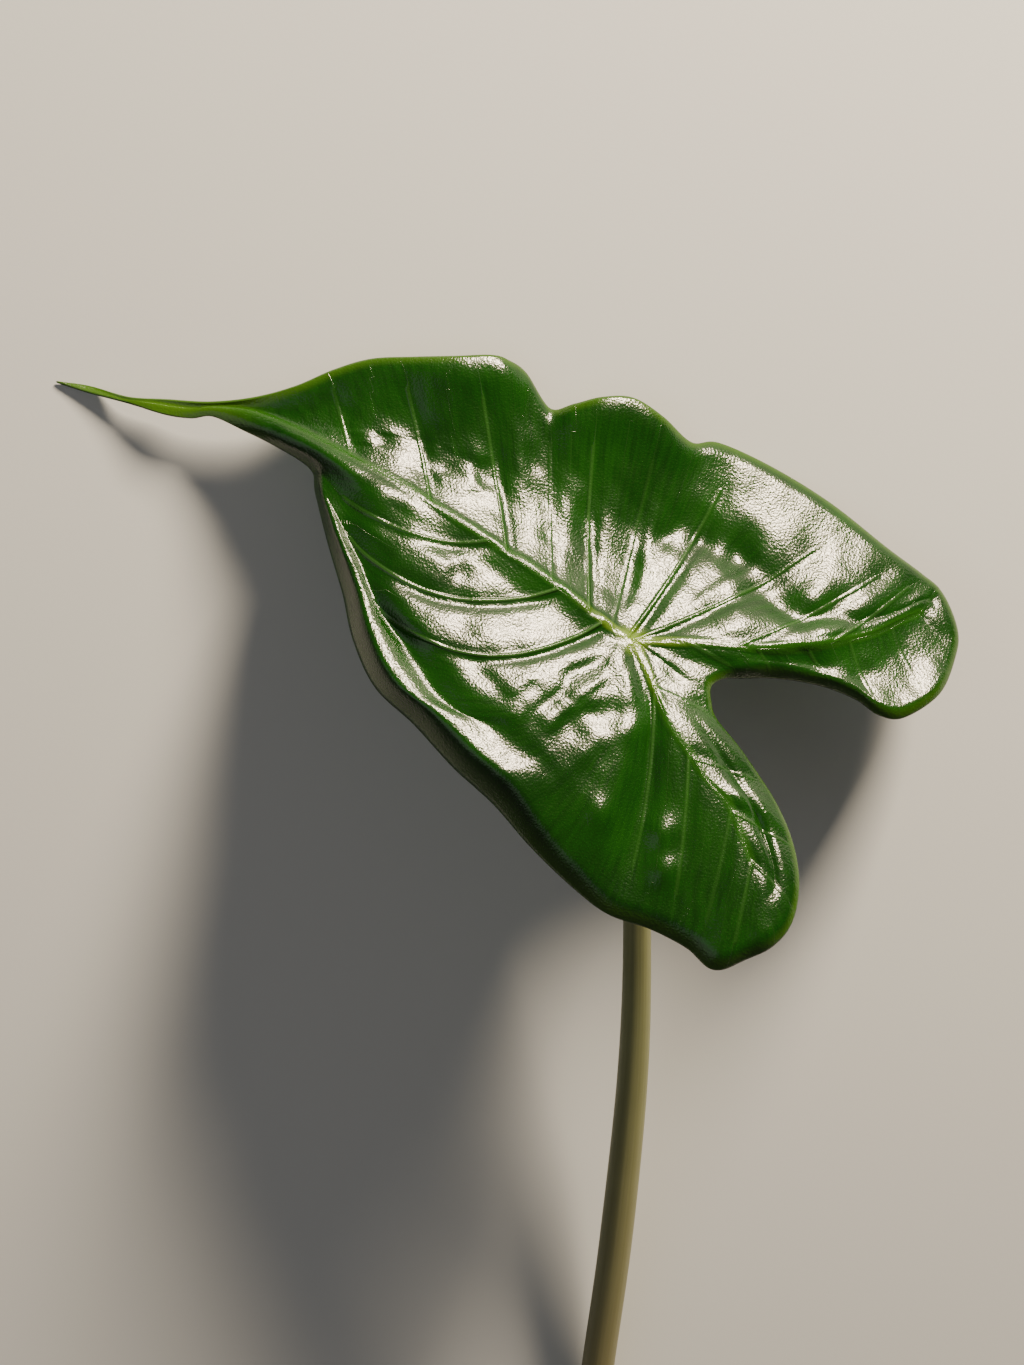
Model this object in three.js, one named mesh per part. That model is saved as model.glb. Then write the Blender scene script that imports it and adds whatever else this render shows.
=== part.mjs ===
import * as THREE from 'three';

// Alocasia leaf, cut with its petiole and laid down: a tailed arrow-shaped blade on a long stalk.
// Millimetres, +Z up, on a surface at z = 0. The blade is drawn in a frame of its own: the origin
// is where the three ribs meet, +X runs along the midrib to the tip, +Y is the drooping near side
// and +Z comes out of the upper face.

// driving sizes
const bladeThickness = 0.8;
const rimRound = 0.3;               // how far the rounded margin stands out past the two faces
const hubPad = { radius: 3.4, foot: 6.6, z: -4.0 };       // thick seat of the petiole under the hub
const jointGap = 0.3;
const hubCalm = 9;                  // within this of the hub the two faces are set apart upright
const petioleSides = 20;
const ringStep = 0.85;              // longest stretch of margin between two rows, in outline points

// How the leaf lies, on the cut end of its petiole, the far margin and the tail: turned by degrees
// about X, then Y, then Z, so that the petiole points to -Y, then moved on to the surface.
const lying = { lean: 44.724, pitch: 13.665, heading: 152.886, x: 25.842, y: 82.385, z: 34.466 };

// margin, from the tip back along the near side, round the near lobe, the sinus, the far lobe and
// forward along the far side to the tip again
const margin = [
  // tail and flap of the near side
  [139.5, 10.5, -12], [132.5, 9, -11.5], [123.5, 7, -10], [115, 5.5, -8.5], [109.5, 3.5, -7.5],
  [105.5, 1.5, -5.5], [98.5, 1, -4.8], [90, 0.5, -4.3], [80.5, 0.8, -4.8],
  // near side
  [76.5, 5, -6], [68, 13.5, -8], [60, 21, -9.5], [52.5, 29.5, -10], [43, 36.5, -10.5], [31.5, 39.5, -10.5],
  [19, 43.5, -11], [8, 45.5, -12], [-4, 49, -14], [-16, 51.5, -15.5],
  // near lobe
  [-25.5, 52.5, -16], [-35, 50.5, -16], [-44, 50, -16], [-51, 51.5, -15.5], [-55.5, 47, -14], [-60.5, 38.5, -10],
  [-59, 29.5, -8], [-53.5, 21, -7], [-45.5, 14, -6.5], [-34.5, 8.5, -5], [-25, 5, -3.5],
  // sinus
  [-21.5, 2, -2.5], [-20, -1, -2], [-21.5, -4.5, -2.5], [-25, -8, -4],
  // far lobe
  [-30.5, -12, -4.5], [-37, -15.5, -5], [-43.5, -18, -5.5], [-50, -19, -5.5], [-56, -18.5, -5.5],
  [-61, -21, -5.5], [-65.5, -30.5, -5], [-65, -41, -5.5], [-62.5, -47.5, -5], [-55.5, -53, -3.5],
  // far side with its two curled waves
  [-49, -54, -2.5], [-39.5, -54, -0.5], [-23, -55.5, 1.5], [-7.5, -55, 3], [5.5, -52.5, 4.5],
  [11, -48, 6], [19.5, -47, 11], [27, -46, 13], [33, -42, 13], [37.5, -38.5, 10.5], [42, -36, 7.5],
  [50.5, -39, 10.5], [55, -38, 13], [58.5, -36.5, 14], [65, -32, 13.5], [73, -27.5, 11.5],
  [81, -23, 9], [87, -17.5, 6],
  // far side of the tail
  [92.5, -11, 2.5], [99, -5.5, -1], [107.5, -0.5, -4.5], [116.5, 3, -7.5], [124, 6, -9.5],
  [132.5, 7.5, -11.5], [139.5, 10.5, -12]
];

// centre lines of the ribs, from the hub outwards, with the height of the raised cord on the upper
// face, the depth of the keel on the lower face and the half width of each, at the hub and at the end
const ribs = {
  mid: {
    line: [[0, 0, 0], [3.7, 0.3, 0.3], [15.2, -0.6, 1.6], [27.4, -1.4, 2.6], [40.4, -1.7, 3.2], [53.5, -2.3, 3.5],
      [66.3, -2.6, 3], [78.9, -2.8, 1.7], [89.1, -3, -0.2], [98.6, -2.5, -2.6], [106, 0, -4.8], [111, 2.5, -7],
      [120, 5.4, -9],
      [124, 6.5, -10], [132, 8, -11.5], [139.5, 10.5, -12]],
    cord: [0.55, 0], keel: [2.6, 0], halfWidth: [2.1, 0.8]
  },
  near: {
    line: [[0, 0, 0], [-5.5, 4, 0], [-15, 12, -0.5], [-21.5, 15.5, -1], [-27.5, 18.5, -2], [-32, 20, -2.5],
      [-35.5, 21, -3], [-41, 25, -4], [-46.5, 29.5, -5.5]],
    cord: [0.4, 0.1], keel: [2.0, 0.4], halfWidth: [1.9, 0.8]
  },
  far: {
    line: [[0, 0, 0], [-3.5, -2, 0], [-13.5, -7.5, 1], [-25.5, -14.5, 1], [-33, -20, 1], [-38.5, -25, 0.5],
      [-45.5, -33, -1], [-51, -42, -2], [-53, -45, -2.5]],
    cord: [0.4, 0.1], keel: [2.0, 0.4], halfWidth: [1.9, 0.8]
  }
};

// Cross-sections round the leaf, each from a rib out to the margin. edge: its place on the margin,
// in outline points. root: where it leaves its rib, from the hub. bow: how far it bows backwards,
// against its length. steep: how late it falls or climbs. belly: how far it domes or, below nought,
// dishes. gutter: depth of the valley at gutterAt of its length. roll: how far the last lip of the
// blade turns down. vein: strength of the side vein that runs along it.
const sections = [
  [0, 'mid', 'end', 0, 1.2, 0, 0, 0.7, 0, 2, 0],
  [1, 'mid', 137, 0, 1.2, 0, 0, 0.7, 0, 2, 0],
  [2, 'mid', 127.6, 0, 1.2, 0, 0, 0.7, 0, 2, 0],
  [3, 'mid', 118.6, 0, 1.2, 0.1, 0, 0.7, 0, 2, 0],
  [5, 'mid', 107, 0, 1.2, 0.3, 0, 0.7, 0.4, 2, 0],
  [6.4, 'mid', 90, 0.04, 1.5, 0.5, 0, 0.7, 1.5, 2, 0],
  [7.3, 'mid', 72, 0.12, 2.3, 0.7, 0.2, 0.7, 2.2, 2, 0],
  [7.85, 'mid', 55, 0.2, 2.7, 0.9, 0.5, 0.74, 2.8, 2, 0],
  [8.3, 'mid', 38, 0.34, 2.3, 0.5, 0.8, 0.78, 3.2, 2, 0.6],
  [8.85, 'mid', 19.5, 0.5, 1.5, 0, 1.4, 0.77, 4.0, 2.4, 1],
  [10.3, 'mid', 8, 0.57, 1.4, 0.4, 2.6, 0.77, 7, 2.9, 1],
  [13.2, 'mid', 1.5, 0.48, 1.3, 0.3, 1.6, 0.75, 7.8, 3.1, 0],
  [15.6, 'near', 0, 0.3, 1.6, 0, 1.0, 0.78, 8, 3.2, 0],
  [17.6, 'near', 0, 0.14, 2.6, 0.2, 0, 0.78, 3.5, 3, 0],
  [19.2, 'near', 12, 0.08, 1.1, 0, 0, 0.7, 2.5, 3, 0.5],
  [20.4, 'near', 28, 0.04, 1.1, 0.2, 0, 0.6, 2.5, 3, 0.5],
  [21.3, 'near', 44, 0.02, 1.1, 0.3, 0, 0.5, 2.5, 3, 0.3],
  [22.5, 'near', 'end', 0, 1.3, 0.3, 0, 0.5, 2.5, 3, 0.4],
  [24.6, 'near', 'end', 0, 1.5, 0.2, 0.4, 0.5, 0.8, 3, 0.3],
  [26, 'near', 45, 0, 1.5, 0, 1.2, 0.48, 0.5, 2, 0.4],
  [27.4, 'near', 30, 0, 1.5, 0, 0.8, 0.5, 1, 2, 0.3],
  [29, 'near', 12, 0, 1.4, 0.2, 0, 0.5, 1.2, 2, 0.3],
  [30.2, 'near', 0, 0, 1.2, 0, 0, 0.5, 1.2, 2, 0],
  [31.6, 'far', 0, 0, 1.2, 0, 0, 0.5, 1.4, 2, 0],
  [32.8, 'far', 12, 0, 1.5, 0.6, 0, 0.5, 2.5, 2.4, 0.3],
  [34, 'far', 28, 0, 0.9, -0.8, 0, 0.5, 3.5, 2.6, 0.3],
  [36, 'far', 40, 0, 0.5, -1.4, 0, 0.5, 3.6, 2.4, 0.3],
  [37.8, 'far', 51, 0, 0.5, -1.2, 0, 0.5, 2.6, 2.2, 0.3],
  [39.6, 'far', 62, 0, 0.6, -1.0, 0, 0.5, 1.8, 2, 0.2],
  [40.9, 'far', 'end', 0, 0.8, -0.4, 0, 0.5, 1, 2, 0],
  [43.2, 'far', 'end', 0, 1.0, 0.2, 0.2, 0.5, 1, 2, 0.3],
  [43.9, 'far', 47, 0.04, 1.2, 0.2, 0.5, 0.34, 1.2, 2.5, 0.5],
  [44.6, 'far', 24, 0.06, 1.3, 0.5, 1.1, 0.38, 1.4, 3, 0.5],
  [45.6, 'far', 0, 0.08, 1.3, 0, 1.8, 0.55, 1.5, 3.5, 0.7],
  [47.6, 'mid', 1.5, 0.06, 1.5, -1.5, 1.6, 0.58, 1.5, 4, 0.9],
  [50, 'mid', 6, 0.04, 2.4, -2.2, 0.6, 0.55, 2, 5, 0.3],
  [52.2, 'mid', 12, 0.02, 2.6, -2, 0, 0.6, 2.5, 6, 0.9],
  [54, 'mid', 22, 0.02, 2.1, -1.3, 0, 0.6, 2, 5, 0.3],
  [57.6, 'mid', 34, 0.08, 2.2, -1.6, 0, 0.6, 2.5, 6, 0.7],
  [59.4, 'mid', 54, 0.1, 2.2, -1.5, 0, 0.6, 2, 5, 0.6],
  [61.2, 'mid', 74, 0.08, 1.9, -1, 0, 0.6, 1, 4, 0.4],
  [62.6, 'mid', 93, 0.03, 1.4, -1, 0, 0.6, 0.4, 2, 0],
  [64.2, 'mid', 112, 0, 1.2, -0.3, 0, 0.6, 0, 2, 0],
  [65, 'mid', 120, 0, 1.2, -0.1, 0, 0.6, 0, 2, 0],
  [66, 'mid', 128.6, 0, 1.2, 0, 0, 0.6, 0, 2, 0],
  [67, 'mid', 137, 0, 1.2, 0, 0, 0.6, 0, 2, 0],
  [68, 'mid', 'end', 0, 1.2, 0, 0, 0.6, 0, 2, 0]
].map(([edge, rib, root, bow, steep, belly, gutter, gutterAt, roll, lip, vein]) =>
  ({ edge, rib, root, bow, steep, belly, gutter, gutterAt, roll, lip, vein }));

// petiole centre line, in the blade's frame, and its radius at each of these points
const petioleLine = [[-0.5, 0.3, hubPad.z - jointGap], [-0.7, 0.5, -8], [-6.5, 5.5, -17], [-16, 14.5, -29],
  [-35, 33, -59], [-52, 51, -90.5], [-70.5, 74.5, -130], [-84, 93.5, -161.5], [-90.5, 102, -176]];
const petioleRadius = [2.9, 2.9, 3.0, 3.1, 3.3, 3.75, 4.1, 4.15, 4.15];

// smooth curve through a list of points; its parameter counts the points
function throughPoints(points) {
  const curve = new THREE.CatmullRomCurve3(points.map(p => new THREE.Vector3(...p)), false, 'catmullrom', 0.5);
  return u => curve.getPoint(THREE.MathUtils.clamp(u / (points.length - 1), 0, 1));
}

// smooth curve through values that never overshoots them
function throughValues(xs, ys) {
  const steps = xs.slice(1).map((x, i) => x - xs[i]);
  const slopes = steps.map((h, i) => (ys[i + 1] - ys[i]) / h);
  const tangents = ys.map((_, i) => {
    if (i === 0) return slopes[0];
    if (i === ys.length - 1) return slopes[i - 1];
    if (slopes[i - 1] * slopes[i] <= 0) return 0;
    const before = 2 * steps[i] + steps[i - 1];
    const after = steps[i] + 2 * steps[i - 1];
    return (before + after) / (before / slopes[i - 1] + after / slopes[i]);
  });
  return x => {
    let i = 0;
    while (i < steps.length - 1 && x >= xs[i + 1]) i += 1;
    const h = steps[i];
    const t = THREE.MathUtils.clamp((x - xs[i]) / h, 0, 1);
    return ys[i] * (1 + 2 * t) * (1 - t) ** 2 + tangents[i] * h * t * (1 - t) ** 2
      + ys[i + 1] * t * t * (3 - 2 * t) + tangents[i + 1] * h * t * t * (t - 1);
  };
}

// each rib gets its curve by distance from the hub
for (const rib of Object.values(ribs)) {
  const curve = throughPoints(rib.line);
  const reach = [0];
  for (let i = 1; i < rib.line.length; i += 1) {
    reach.push(reach[i - 1] + Math.hypot(...rib.line[i].map((v, k) => v - rib.line[i - 1][k])));
  }
  rib.length = reach.at(-1);
  rib.at = distance => {
    let i = 0;
    while (i < reach.length - 2 && distance > reach[i + 1]) i += 1;
    return curve(i + THREE.MathUtils.clamp((distance - reach[i]) / (reach[i + 1] - reach[i]), 0, 1));
  };
}
for (const section of sections) {
  if (section.root === 'end') section.root = ribs[section.rib].length;
}

// The way round the skeleton: down the midrib from the tip, out along the near rib and back, out
// along the far rib and back, and up the midrib. It only ever grows as the edge does.
const lobeTip = { near: 23.5, far: 42 };
const sinus = 31;
const nearLength = ribs.near.length;
const farLength = ribs.far.length;
const ways = sections.map(({ edge, rib, root }) => {
  if (rib === 'mid') return edge < sinus ? -root : 2 * nearLength + 2 * farLength + root;
  if (rib === 'near') return edge < lobeTip.near ? root : 2 * nearLength - root;
  return 2 * nearLength + (edge < lobeTip.far ? root : 2 * farLength - root);
});
const edges = sections.map(section => section.edge);
const wayAt = throughValues(edges, ways);
const tables = {};
for (const name of ['bow', 'steep', 'belly', 'gutter', 'gutterAt', 'roll', 'lip']) {
  tables[name] = throughValues(edges, sections.map(section => section[name]));
}
const marginAt = throughPoints(margin);

function ribPointAt(way) {
  if (way <= 0) return ribs.mid.at(-way);
  if (way <= nearLength) return ribs.near.at(way);
  if (way <= 2 * nearLength) return ribs.near.at(2 * nearLength - way);
  const farWay = way - 2 * nearLength;
  if (farWay <= farLength) return ribs.far.at(farWay);
  if (farWay <= 2 * farLength) return ribs.far.at(2 * farLength - farWay);
  return ribs.mid.at(farWay - 2 * farLength);
}

// a row of the blade, from a rib out to one place on the margin
function rowAt(u) {
  const row = { u, root: ribPointAt(wayAt(u)), edge: marginAt(u) };
  for (const name of Object.keys(tables)) row[name] = tables[name](u);
  row.chord = row.edge.clone().sub(row.root).setZ(0);
  row.length = row.chord.length();
  const back = u < sinus ? -1 : 1;
  row.side = new THREE.Vector3(row.chord.y * back, -row.chord.x * back, 0);
  return row;
}

const bell = x => Math.exp(-x * x);
const gutterWidth = 0.11;

// point of the middle surface at t of a row: straight out with a bow, and up or down by the row's
// climb, belly, gutter and rolled lip
function pointOn(row, t) {
  const p = row.root.clone().addScaledVector(row.chord, t).addScaledVector(row.side, 2 * row.bow * t * (1 - t));
  const lip = THREE.MathUtils.clamp(1 - (1 - t) * row.length / row.lip, 0, 1);
  const gutter = bell((t - row.gutterAt) / gutterWidth) - bell((1 - row.gutterAt) / gutterWidth) * t ** 6;
  p.z = row.root.z + (row.edge.z + row.roll - row.root.z) * t ** row.steep
    + row.belly * Math.sin(Math.PI * t) - row.gutter * gutter - row.roll * lip * lip;
  return p;
}

// distance in plan from a point to a line of points, and how far along the line that is
function toLine(p, line) {
  let best = { distance: Infinity, along: 0 };
  for (let k = 0; k < line.length - 1; k += 1) {
    const dx = line[k + 1].x - line[k].x;
    const dy = line[k + 1].y - line[k].y;
    const f = THREE.MathUtils.clamp(
      ((p.x - line[k].x) * dx + (p.y - line[k].y) * dy) / (dx * dx + dy * dy + 1e-12), 0, 1);
    const distance = Math.hypot(p.x - line[k].x - f * dx, p.y - line[k].y - f * dy);
    if (distance < best.distance) best = { distance, along: (k + f) / (line.length - 1) };
  }
  return best;
}

// a rounded ridge over a line, tapering from its first to its last height and half width
function ridge(p, line, heights, halfWidths) {
  const { distance, along } = toLine(p, line);
  const width = THREE.MathUtils.lerp(halfWidths[0], halfWidths[1], along);
  const height = THREE.MathUtils.lerp(heights[0], heights[1], along);
  return height * Math.max(0, 1 - (distance / width) ** 2) ** 2;
}

// side veins run along their sections and fade before the margin
const veinEnd = 0.8;
const veins = sections.filter(section => section.vein > 0);
const lineAlong = (at, steps, length) => Array.from({ length: steps + 1 }, (_, i) => at(length * i / steps));
for (const rib of Object.values(ribs)) rib.plan = lineAlong(rib.at, 30, rib.length);
for (const vein of veins) {
  vein.row = rowAt(vein.edge);
  vein.plan = lineAlong(t => pointOn(vein.row, t), 20, veinEnd);
}
const veinCord = { height: 0.35, halfWidth: [1.2, 0.7] };
const veinKeel = { height: 0.9, halfWidth: [1.5, 0.8] };
const veinReach = 2.5;              // rows this many outline points away can't touch a vein

function raised(p, u, ribHeights, veinShape) {
  let height = 0;
  for (const rib of Object.values(ribs)) {
    height = Math.max(height, ridge(p, rib.plan, ribHeights(rib), rib.halfWidth));
  }
  for (const vein of veins) {
    if (Math.abs(vein.edge - u) < veinReach) {
      const heights = [veinShape.height * vein.vein, 0.1 * veinShape.height];
      height = Math.max(height, ridge(p, vein.plan, heights, veinShape.halfWidth));
    }
  }
  return height;
}

// the blade swells softly between neighbouring veins, more where they lie further apart
const quilt = { share: 0.035, most: 0.6 };
function swell(u, t) {
  const next = veins.findIndex(vein => vein.edge > u);
  if (next < 1) return 0;
  const a = veins[next - 1];
  const b = veins[next];
  const gap = pointOn(a.row, t).distanceTo(pointOn(b.row, t));
  const across = Math.sin(Math.PI * (u - a.edge) / (b.edge - a.edge));
  return Math.min(quilt.share * gap, quilt.most) * across * Math.sin(Math.PI * t ** 0.8) ** 0.7;
}

// Rows are set at every section, with one to each side of a strong vein, and filled in between.
const strongVein = 0.6;
const veinFoot = 1.3;
function markRows(from, to, flanked = true) {
  const marks = new Set([from, to]);
  for (const section of sections) {
    if (section.edge < from || section.edge > to) continue;
    marks.add(section.edge);
    if (flanked && section.vein >= strongVein) {
      const spread = pointOn(rowAt(section.edge + 0.1), 0.5).distanceTo(pointOn(rowAt(section.edge - 0.1), 0.5));
      const step = 0.2 * veinFoot / spread;
      for (const u of [section.edge - step, section.edge + step]) if (u > from && u < to) marks.add(u);
    }
  }
  const sorted = [...marks].sort((a, b) => a - b);
  const rows = [];
  sorted.forEach((u, i) => {
    rows.push(u);
    const gap = (sorted[i + 1] ?? u) - u;
    const extra = Math.ceil(gap / ringStep - 0.2) - 1;
    for (let k = 1; k <= extra; k += 1) rows.push(u + gap * k / (extra + 1));
  });
  return rows;
}

// the edge place whose row leaves the skeleton at a given way
function edgeFor(way, from, to) {
  let low = from;
  let high = to;
  for (let k = 0; k < 60; k += 1) {
    const mid = (low + high) / 2;
    if (wayAt(mid) < way) low = mid; else high = mid;
  }
  return (low + high) / 2;
}

// The two sides of a rib share their root points, so each side takes the other's rows too.
const closestRoots = 0.45;
function pairSides(name, before, after, wayBefore, wayAfter) {
  const length = ribs[name].length;
  const roots = [...markRows(...before).map(u => Math.abs(wayAt(u) - wayBefore)),
    ...markRows(...after).map(u => Math.abs(wayAt(u) - wayAfter))].sort((a, b) => a - b);
  const kept = roots.filter(r => r > closestRoots && r < length - closestRoots)
    .filter((r, i, all) => i === 0 || r - all[i - 1] > 1e-6)
    .reduce((list, r) => (list.length && r - list.at(-1) < closestRoots ? list : [...list, r]), []);
  const side = (range, zero, sign) => kept.map((r, i) =>
    ({ u: edgeFor(zero + sign * r, ...range), key: `${name}${i}` })).sort((a, b) => a.u - b.u);
  return { side };
}

const stops = { nearHub: [15.6, 17.6], nearEnd: [22.5, 24.6], sinus: [30.2, 31.6], farEnd: [40.9, 43.2], farHub: 45.6 };
function fan(from, to, key) {
  return markRows(from, to, false).map(u => ({ u, key }));
}
function allRows() {
  const last = margin.length - 1;
  const full = 2 * nearLength + 2 * farLength;
  const midPair = pairSides('mid', [0, stops.nearHub[0]], [stops.farHub, last], 0, full);
  const nearPair = pairSides('near', [stops.nearHub[1], stops.nearEnd[0]], [stops.nearEnd[1], stops.sinus[0]],
    0, 2 * nearLength);
  const farPair = pairSides('far', [stops.sinus[1], stops.farEnd[0]], [stops.farEnd[1], stops.farHub],
    2 * nearLength, full);
  return [
    { u: 0, key: 'tip' },
    ...midPair.side([0, stops.nearHub[0]], 0, -1),
    ...fan(...stops.nearHub, 'hub'),
    ...nearPair.side([stops.nearHub[1], stops.nearEnd[0]], 0, 1),
    ...fan(...stops.nearEnd, 'nearEnd'),
    ...nearPair.side([stops.nearEnd[1], stops.sinus[0]], 2 * nearLength, -1),
    ...fan(...stops.sinus, 'hub'),
    ...farPair.side([stops.sinus[1], stops.farEnd[0]], 2 * nearLength, 1),
    ...fan(...stops.farEnd, 'farEnd'),
    ...farPair.side([stops.farEnd[1], stops.farHub], full, -1),
    { u: stops.farHub, key: 'hub' },
    ...midPair.side([stops.farHub, last], full, 1)
  ];
}

// Columns crowd over the rib and at the rolled lip, where the section turns fastest.
const ribColumns = [0, 0.3, 0.62, 1];
const openColumns = [0.14, 0.3, 0.46, 0.6, 0.72, 0.84];
const lipColumns = [1.15, 0.55, 0];
const closestColumns = 0.6;
function columnsOf(row) {
  const inner = Math.min(0.3, 3.4 / row.length);
  const outer = Math.min(0.3, row.lip / row.length);
  const open = 1 - inner - outer * lipColumns[0];
  const columns = [...ribColumns.map(c => c * inner), ...openColumns.map(c => inner + c * open),
    ...lipColumns.map(c => 1 - c * outer)];
  // in a short row a column too close to the one before it, or to the margin, joins it
  const closest = closestColumns / row.length;
  for (let j = 1; j < columns.length - 1; j += 1) {
    if (columns[j] - columns[j - 1] < closest || 1 - columns[j] < closest) columns[j] = columns[j - 1];
  }
  return columns;
}

function blade() {
  const rows = allRows();
  const places = [];                // one for each point of the middle surface
  const known = new Map();
  const grid = rows.map(({ u, key }, i) => {
    const row = rowAt(u);
    return columnsOf(row).map(t => {
      const name = key === 'tip' ? 'tip' : t === 0 ? key : `${i},${t}`;
      if (!known.has(name)) {
        known.set(name, places.length);
        places.push({ p: pointOn(row, key === 'tip' ? 0 : t), u, t, row });
      }
      return known.get(name);
    });
  });
  const triangles = [];
  const addTriangle = (a, b, c) => {
    if (a !== b && b !== c && c !== a) triangles.push([a, b, c]);
  };
  grid.forEach((line, i) => {
    const following = grid[(i + 1) % grid.length];
    for (let j = 0; j < line.length - 1; j += 1) {
      addTriangle(line[j], line[j + 1], following[j + 1]);
      addTriangle(line[j], following[j + 1], following[j]);
    }
  });

  // normals of the middle surface, then the two faces to either side of it
  const normals = places.map(() => new THREE.Vector3());
  const facing = new THREE.Triangle();
  for (const [a, b, c] of triangles) {
    facing.set(places[a].p, places[b].p, places[c].p);
    const n = facing.getNormal(new THREE.Vector3()).multiplyScalar(facing.getArea());
    for (const k of [a, b, c]) normals[k].add(n);
  }
  const upright = new THREE.Vector3(0, 0, 1);
  const upper = [];
  const lower = [];
  places.forEach(({ p, u, t }, k) => {
    const fromHub = Math.hypot(p.x, p.y);
    const n = normals[k].normalize().lerp(upright, Math.max(0, 1 - fromHub / hubCalm)).normalize();
    const lift = swell(u, t);
    upper.push(p.clone().addScaledVector(n, lift + bladeThickness / 2 + raised(p, u, rib => rib.cord, veinCord)));
    const under = p.clone().addScaledVector(n, lift - bladeThickness / 2);
    under.z -= raised(p, u, rib => rib.keel, veinKeel);
    const flare = THREE.MathUtils.clamp((fromHub - hubPad.radius) / (hubPad.foot - hubPad.radius), 0, 1);
    if (flare < 1) under.z = Math.min(under.z, hubPad.z - 1.2 * hubPad.z * flare ** 1.5);
    lower.push(under);
  });
  const rimOf = new Map();
  const rim = [];
  grid.forEach(line => {
    const outer = line.at(-1);
    const inner = line.findLast(k => k !== outer) ?? 0;
    const out = places[outer].p.clone().sub(places[inner].p);
    const lift = upper[outer].clone().add(lower[outer]).multiplyScalar(0.5);
    rimOf.set(outer, upper.length + lower.length + rim.length);
    rim.push(lift.addScaledVector(out.normalize(), rimRound));
  });
  const count = upper.length;
  const faces = [];
  for (const [a, b, c] of triangles) faces.push([a, b, c], [count + a, count + c, count + b]);
  grid.forEach((line, i) => {
    const a = line.at(-1);
    const b = grid[(i + 1) % grid.length].at(-1);
    faces.push([a, rimOf.get(a), rimOf.get(b)], [a, rimOf.get(b), b]);
    faces.push([rimOf.get(a), count + a, count + b], [rimOf.get(a), count + b, rimOf.get(b)]);
  });
  return solid([...upper, ...lower, ...rim], faces, bladeMaterial());
}

// Rings of points round the petiole's centre line, closed by a flat face at each end.
function petiole() {
  const centre = throughPoints(petioleLine);
  const radius = throughValues(petioleRadius.map((_, i) => i), petioleRadius);
  const ringsPerPoint = 4;
  const last = petioleLine.length - 1;
  const points = [];
  const faces = [];
  const across = new THREE.Vector3(0, 1, 0);
  for (let i = 0; i <= last * ringsPerPoint; i += 1) {
    const u = i / ringsPerPoint;
    const along = centre(Math.min(u + 0.01, last)).sub(centre(Math.max(u - 0.01, 0))).normalize();
    if (i === 0) along.set(0, 0, -1);
    const side = across.clone().addScaledVector(along, -across.dot(along)).normalize();
    const front = new THREE.Vector3().crossVectors(along, side);
    for (let k = 0; k < petioleSides; k += 1) {
      const angle = 2 * Math.PI * k / petioleSides;
      points.push(centre(u).addScaledVector(side, radius(u) * Math.cos(angle))
        .addScaledVector(front, radius(u) * Math.sin(angle)));
      if (i > 0) {
        const a = (i - 1) * petioleSides + k;
        const b = (i - 1) * petioleSides + (k + 1) % petioleSides;
        faces.push([a, b, b + petioleSides], [a, b + petioleSides, a + petioleSides]);
      }
    }
  }
  const top = points.length;
  points.push(centre(0), centre(last));
  const foot = last * ringsPerPoint * petioleSides;
  for (let k = 0; k < petioleSides; k += 1) {
    const next = (k + 1) % petioleSides;
    faces.push([top, next, k], [top + 1, foot + k, foot + next]);
  }
  return solid(points, faces, petioleMaterial());
}

function solid(points, faces, material) {
  const geometry = new THREE.BufferGeometry();
  geometry.setAttribute('position', new THREE.Float32BufferAttribute(points.flatMap(p => p.toArray()), 3));
  geometry.setIndex(faces.flat());
  geometry.computeVertexNormals();
  return new THREE.Mesh(geometry, material);
}

function bladeMaterial() {
  return new THREE.MeshStandardMaterial({ color: 0x1f5c14, roughness: 0.3, metalness: 0 });
}

function petioleMaterial() {
  return new THREE.MeshStandardMaterial({ color: 0x8a8752, roughness: 0.55, metalness: 0 });
}

const group = new THREE.Group();
const leafBlade = blade();
leafBlade.name = 'leaf_blade';
const leafPetiole = petiole();
leafPetiole.name = 'petiole';
group.add(leafBlade, leafPetiole);
const toRadians = THREE.MathUtils.degToRad;
group.rotation.set(toRadians(lying.lean), toRadians(lying.pitch), toRadians(lying.heading), 'ZYX');
group.position.set(lying.x, lying.y, lying.z);

export default group;
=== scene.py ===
import bpy
import numpy as np
from mathutils import Matrix, Vector


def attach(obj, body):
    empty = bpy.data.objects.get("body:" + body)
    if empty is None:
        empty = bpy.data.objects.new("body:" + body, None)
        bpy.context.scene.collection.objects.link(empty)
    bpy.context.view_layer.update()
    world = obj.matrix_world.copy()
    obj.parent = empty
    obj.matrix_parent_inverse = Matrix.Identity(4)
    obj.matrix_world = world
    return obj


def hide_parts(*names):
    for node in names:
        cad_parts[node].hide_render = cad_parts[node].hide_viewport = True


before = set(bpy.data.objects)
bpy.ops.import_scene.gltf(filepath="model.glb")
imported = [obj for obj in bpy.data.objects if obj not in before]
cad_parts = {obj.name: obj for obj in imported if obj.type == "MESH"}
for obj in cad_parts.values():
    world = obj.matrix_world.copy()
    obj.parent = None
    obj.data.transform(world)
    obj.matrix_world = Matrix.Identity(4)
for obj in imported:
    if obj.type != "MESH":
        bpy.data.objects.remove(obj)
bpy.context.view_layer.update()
print("frame loaded:", sorted(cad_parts))

# The leaf is drawn in millimetres in a frame of its own, with the hub of the ribs at the origin,
# +X along the midrib to the tip, +Y to the drooping near side and +Z out of the upper face.
# lies: how it is turned about X, then Y, then Z, in degrees, and moved on to the surface.
lies = {"lean": 44.724, "pitch": 13.665, "heading": 152.886, "shift": (25.842, 82.385, 34.466)}


def turn(axis, degrees):
    # the matrix that turns about one axis
    return np.array(Matrix.Rotation(np.radians(degrees), 3, axis))


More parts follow.
